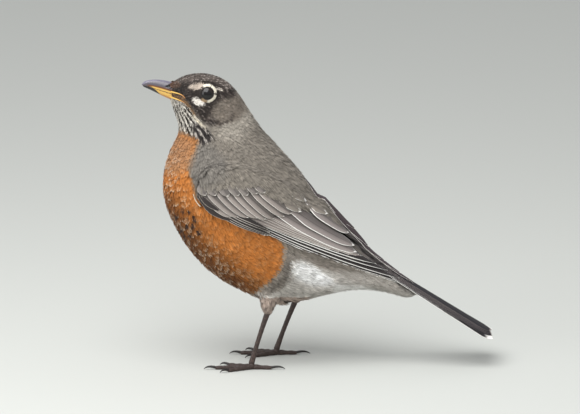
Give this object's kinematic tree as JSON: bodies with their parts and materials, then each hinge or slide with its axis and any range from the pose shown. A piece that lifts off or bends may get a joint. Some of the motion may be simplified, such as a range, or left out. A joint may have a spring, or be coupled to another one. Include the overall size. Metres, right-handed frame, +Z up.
{
  "type": "american robin",
  "caption": "Life-size American robin standing on its toes with folded wings and a closed tail, as a still museum model.",
  "frame": {"origin": "on the floor, under the middle of the bird's bounding box", "axes": "+Z up, -X the way the bill points, +Y towards the bird's right side"},
  "size_m": [0.1976, 0.0678, 0.1659],
  "materials": {
    "crown_feathers": "soft short feathers, matt",
    "grey_feathers": "soft contour feathers, matt",
    "orange_feathers": "soft contour feathers with pale fringes, matt",
    "white_feathers": "loose downy feathers, matt",
    "wing_coverts": "flat vanes with pale edges, faint sheen",
    "flight_feathers": "long firm vanes with pale edges, faint sheen",
    "tail_feathers": "long firm vanes with white corners, faint sheen",
    "bill_ridge": "horn, satin",
    "bill_yellow": "horn, satin",
    "eye": "wet gloss",
    "leg": "scaled skin, satin",
    "claw": "horn, satin"
  },
  "bodies": {
    "root": {"bill_lower": "bill_yellow", "bill_upper": "bill_ridge", "claw_left_hind": "claw", "claw_left_inner": "claw", "claw_left_middle": "claw", "claw_left_outer": "claw", "claw_right_hind": "claw", "claw_right_inner": "claw", "claw_right_middle": "claw", "claw_right_outer": "claw", "eye_left": "eye", "eye_right": "eye", "foot_left": "leg", "foot_right": "leg", "head": "crown_feathers", "neck": "grey_feathers", "tail": "tail_feathers", "tail_coverts": "white_feathers", "tarsus_left": "leg", "tarsus_right": "leg", "thigh_left": "white_feathers", "thigh_right": "white_feathers", "trunk": "orange_feathers", "wing_left_coverts": "wing_coverts", "wing_left_primaries": "flight_feathers", "wing_left_secondaries": "flight_feathers", "wing_left_tertials": "flight_feathers", "wing_right_coverts": "wing_coverts", "wing_right_primaries": "flight_feathers", "wing_right_secondaries": "flight_feathers", "wing_right_tertials": "flight_feathers"}
  },
  "joints": []
}
